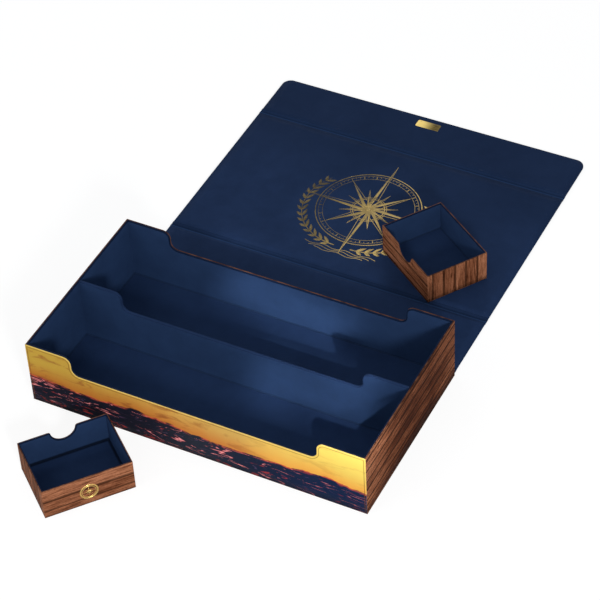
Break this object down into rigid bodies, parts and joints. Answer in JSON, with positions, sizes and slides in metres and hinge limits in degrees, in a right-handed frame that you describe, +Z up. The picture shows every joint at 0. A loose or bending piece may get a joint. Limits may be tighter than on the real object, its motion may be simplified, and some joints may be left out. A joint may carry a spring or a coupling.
{
  "type": "card storage case",
  "caption": "Rigid two-lane trading-card case with a folding wrap-round cover laid open behind it and loose open accessory trays.",
  "frame": {"origin": "centre of the case's underside, where it rests on the table", "axes": "+X right along the case, +Y from the front wall to the open cover behind, +Z up"},
  "size_m": [0.39, 0.7272, 0.0802],
  "materials": {
    "greyboard": "stiff greyboard, matt",
    "wood_print": "printed wood planks on textured paper, satin",
    "front_print": "printed gold and deep blue bands on textured paper, satin",
    "navy_lining": "navy microfibre, soft matt nap",
    "gold_foil": "brushed gold foil",
    "magnet_steel": "plain plated"
  },
  "bodies": {
    "case": {"base_board": "greyboard", "front_wall_board": "greyboard", "rear_wall_board": "greyboard", "left_end_board": "greyboard", "right_end_board": "greyboard", "divider_board": "greyboard", "base_skin": "wood_print", "front_skin": "front_print", "rear_skin": "wood_print", "left_skin": "wood_print", "right_skin": "wood_print", "front_lane_lining": "navy_lining", "rear_lane_lining": "navy_lining", "divider_binding": "navy_lining", "wall_magnets": "magnet_steel", "rear_web": "navy_lining"},
    "spine_panel": {"spine_board": "greyboard", "spine_skin": "wood_print", "spine_lining": "navy_lining", "lid_web": "navy_lining"},
    "lid_panel": {"lid_board": "greyboard", "lid_skin": "wood_print", "lid_lining": "navy_lining", "flap_web": "navy_lining"},
    "front_flap": {"flap_board": "greyboard", "flap_skin": "wood_print", "flap_lining": "navy_lining", "flap_magnets": "magnet_steel", "label_plate": "gold_foil"},
    "tray_a": {"tray_a_floor": "greyboard", "tray_a_plain_wall": "greyboard", "tray_a_notch_wall": "greyboard", "tray_a_left_wall": "greyboard", "tray_a_right_wall": "greyboard", "tray_a_underskin": "wood_print", "tray_a_skin": "wood_print", "tray_a_lining": "navy_lining", "tray_a_badge": "gold_foil"},
    "tray_b": {"tray_b_floor": "greyboard", "tray_b_plain_wall": "greyboard", "tray_b_notch_wall": "greyboard", "tray_b_left_wall": "greyboard", "tray_b_right_wall": "greyboard", "tray_b_underskin": "wood_print", "tray_b_skin": "wood_print", "tray_b_lining": "navy_lining", "tray_b_badge": "gold_foil"}
  },
  "joints": [
    {"name": "spine_fold", "type": "hinge", "parent": "case", "child": "spine_panel", "pos_m": [0, 0.10995, 0.00055], "axis": [1, 0, 0], "range_deg": [0, 90]},
    {"name": "lid_fold", "type": "hinge", "parent": "spine_panel", "child": "lid_panel", "pos_m": [0, 0.19365, 0.00055], "axis": [1, 0, 0], "range_deg": [0, 90]},
    {"name": "flap_fold", "type": "hinge", "parent": "lid_panel", "child": "front_flap", "pos_m": [0, 0.41355, 0.00055], "axis": [1, 0, 0], "range_deg": [0, 90]},
    {"name": "tray_a_lift", "type": "slide", "parent": "case", "child": "tray_a", "axis": [0, 0, 1], "range_m": [0, 0.04]},
    {"name": "tray_b_slide", "type": "slide", "parent": "lid_panel", "child": "tray_b", "axis": [1, 0, 0], "range_m": [0, 0.166]}
  ],
  "couplings": [
    {"joint": "tray_b_slide", "follows": "lid_fold", "m_per_rad": 0.105}
  ]
}
